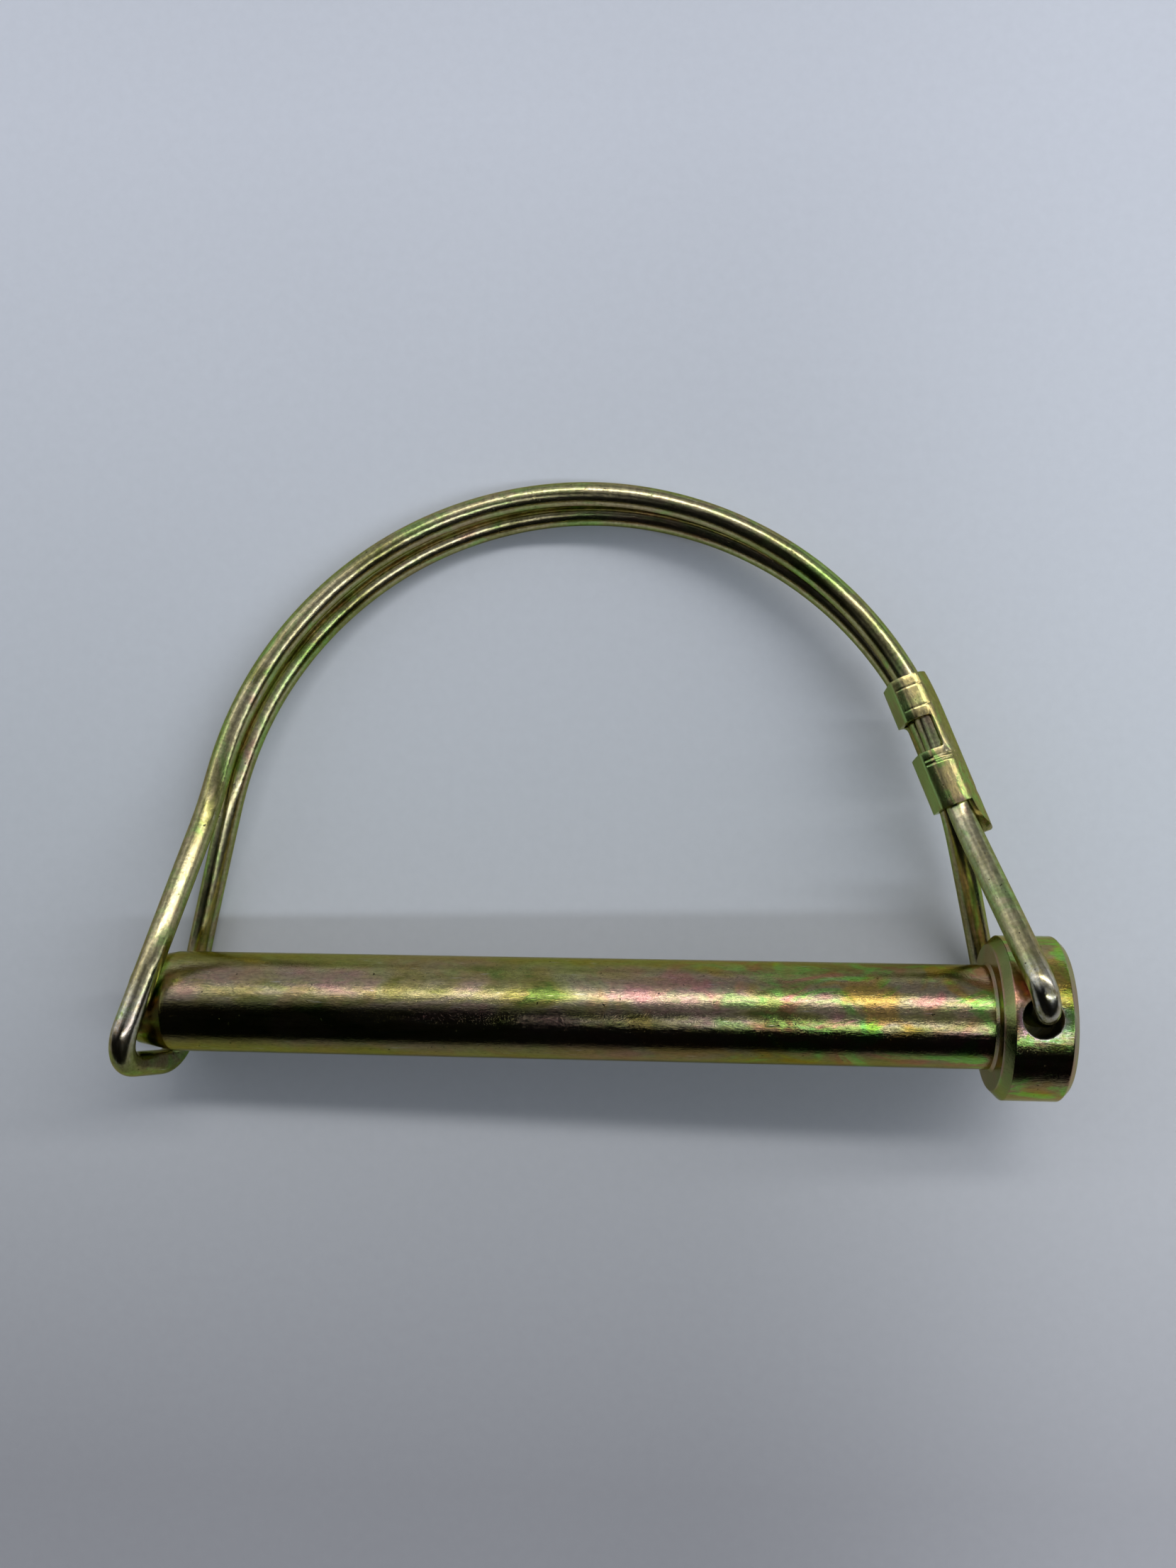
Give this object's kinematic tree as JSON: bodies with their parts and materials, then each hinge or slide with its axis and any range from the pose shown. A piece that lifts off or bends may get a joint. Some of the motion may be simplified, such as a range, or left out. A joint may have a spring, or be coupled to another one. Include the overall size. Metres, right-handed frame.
{
  "type": "hitch pin lock",
  "caption": "Headed hitch pin with a tapered tip and a double-wire spring bail that swings from the head and snaps under the tip; a rolled sheet clip holds the wires together.",
  "frame": {"origin": "on the pin's axis, in the plane of the shoulder where the shank meets the head", "axes": "+X along the pin towards the head, +Y towards the top of the closed bail's arch, +Z along the cross-hole in the head"},
  "size_m": [0.0874, 0.0594, 0.022],
  "materials": {
    "plated_pin": "yellow zinc plate over turned steel, with green and pink interference tints and fine lines along the pin",
    "plated_wire": "yellow zinc plate over drawn spring wire, worn to silver at the bends",
    "plated_clip": "yellow zinc plate over rolled sheet steel, with green tints"
  },
  "bodies": {
    "pin": {"hitch_pin": "plated_pin"},
    "bail_root": {"bail_hook_half": "plated_wire", "wire_clip": "plated_clip"},
    "bail_latch": {"bail_loop_half": "plated_wire"}
  },
  "joints": [
    {"name": "bail_swing", "type": "hinge", "parent": "pin", "child": "bail_root", "pos_m": [0.00317, 0, 0], "axis": [0, 0, -1], "range_deg": [-2, 255]},
    {"name": "bail_pull", "type": "slide", "parent": "bail_root", "child": "bail_latch", "axis": [-1, 0, 0], "range_m": [0, 0.004], "stiffness_N_per_m": 400}
  ]
}
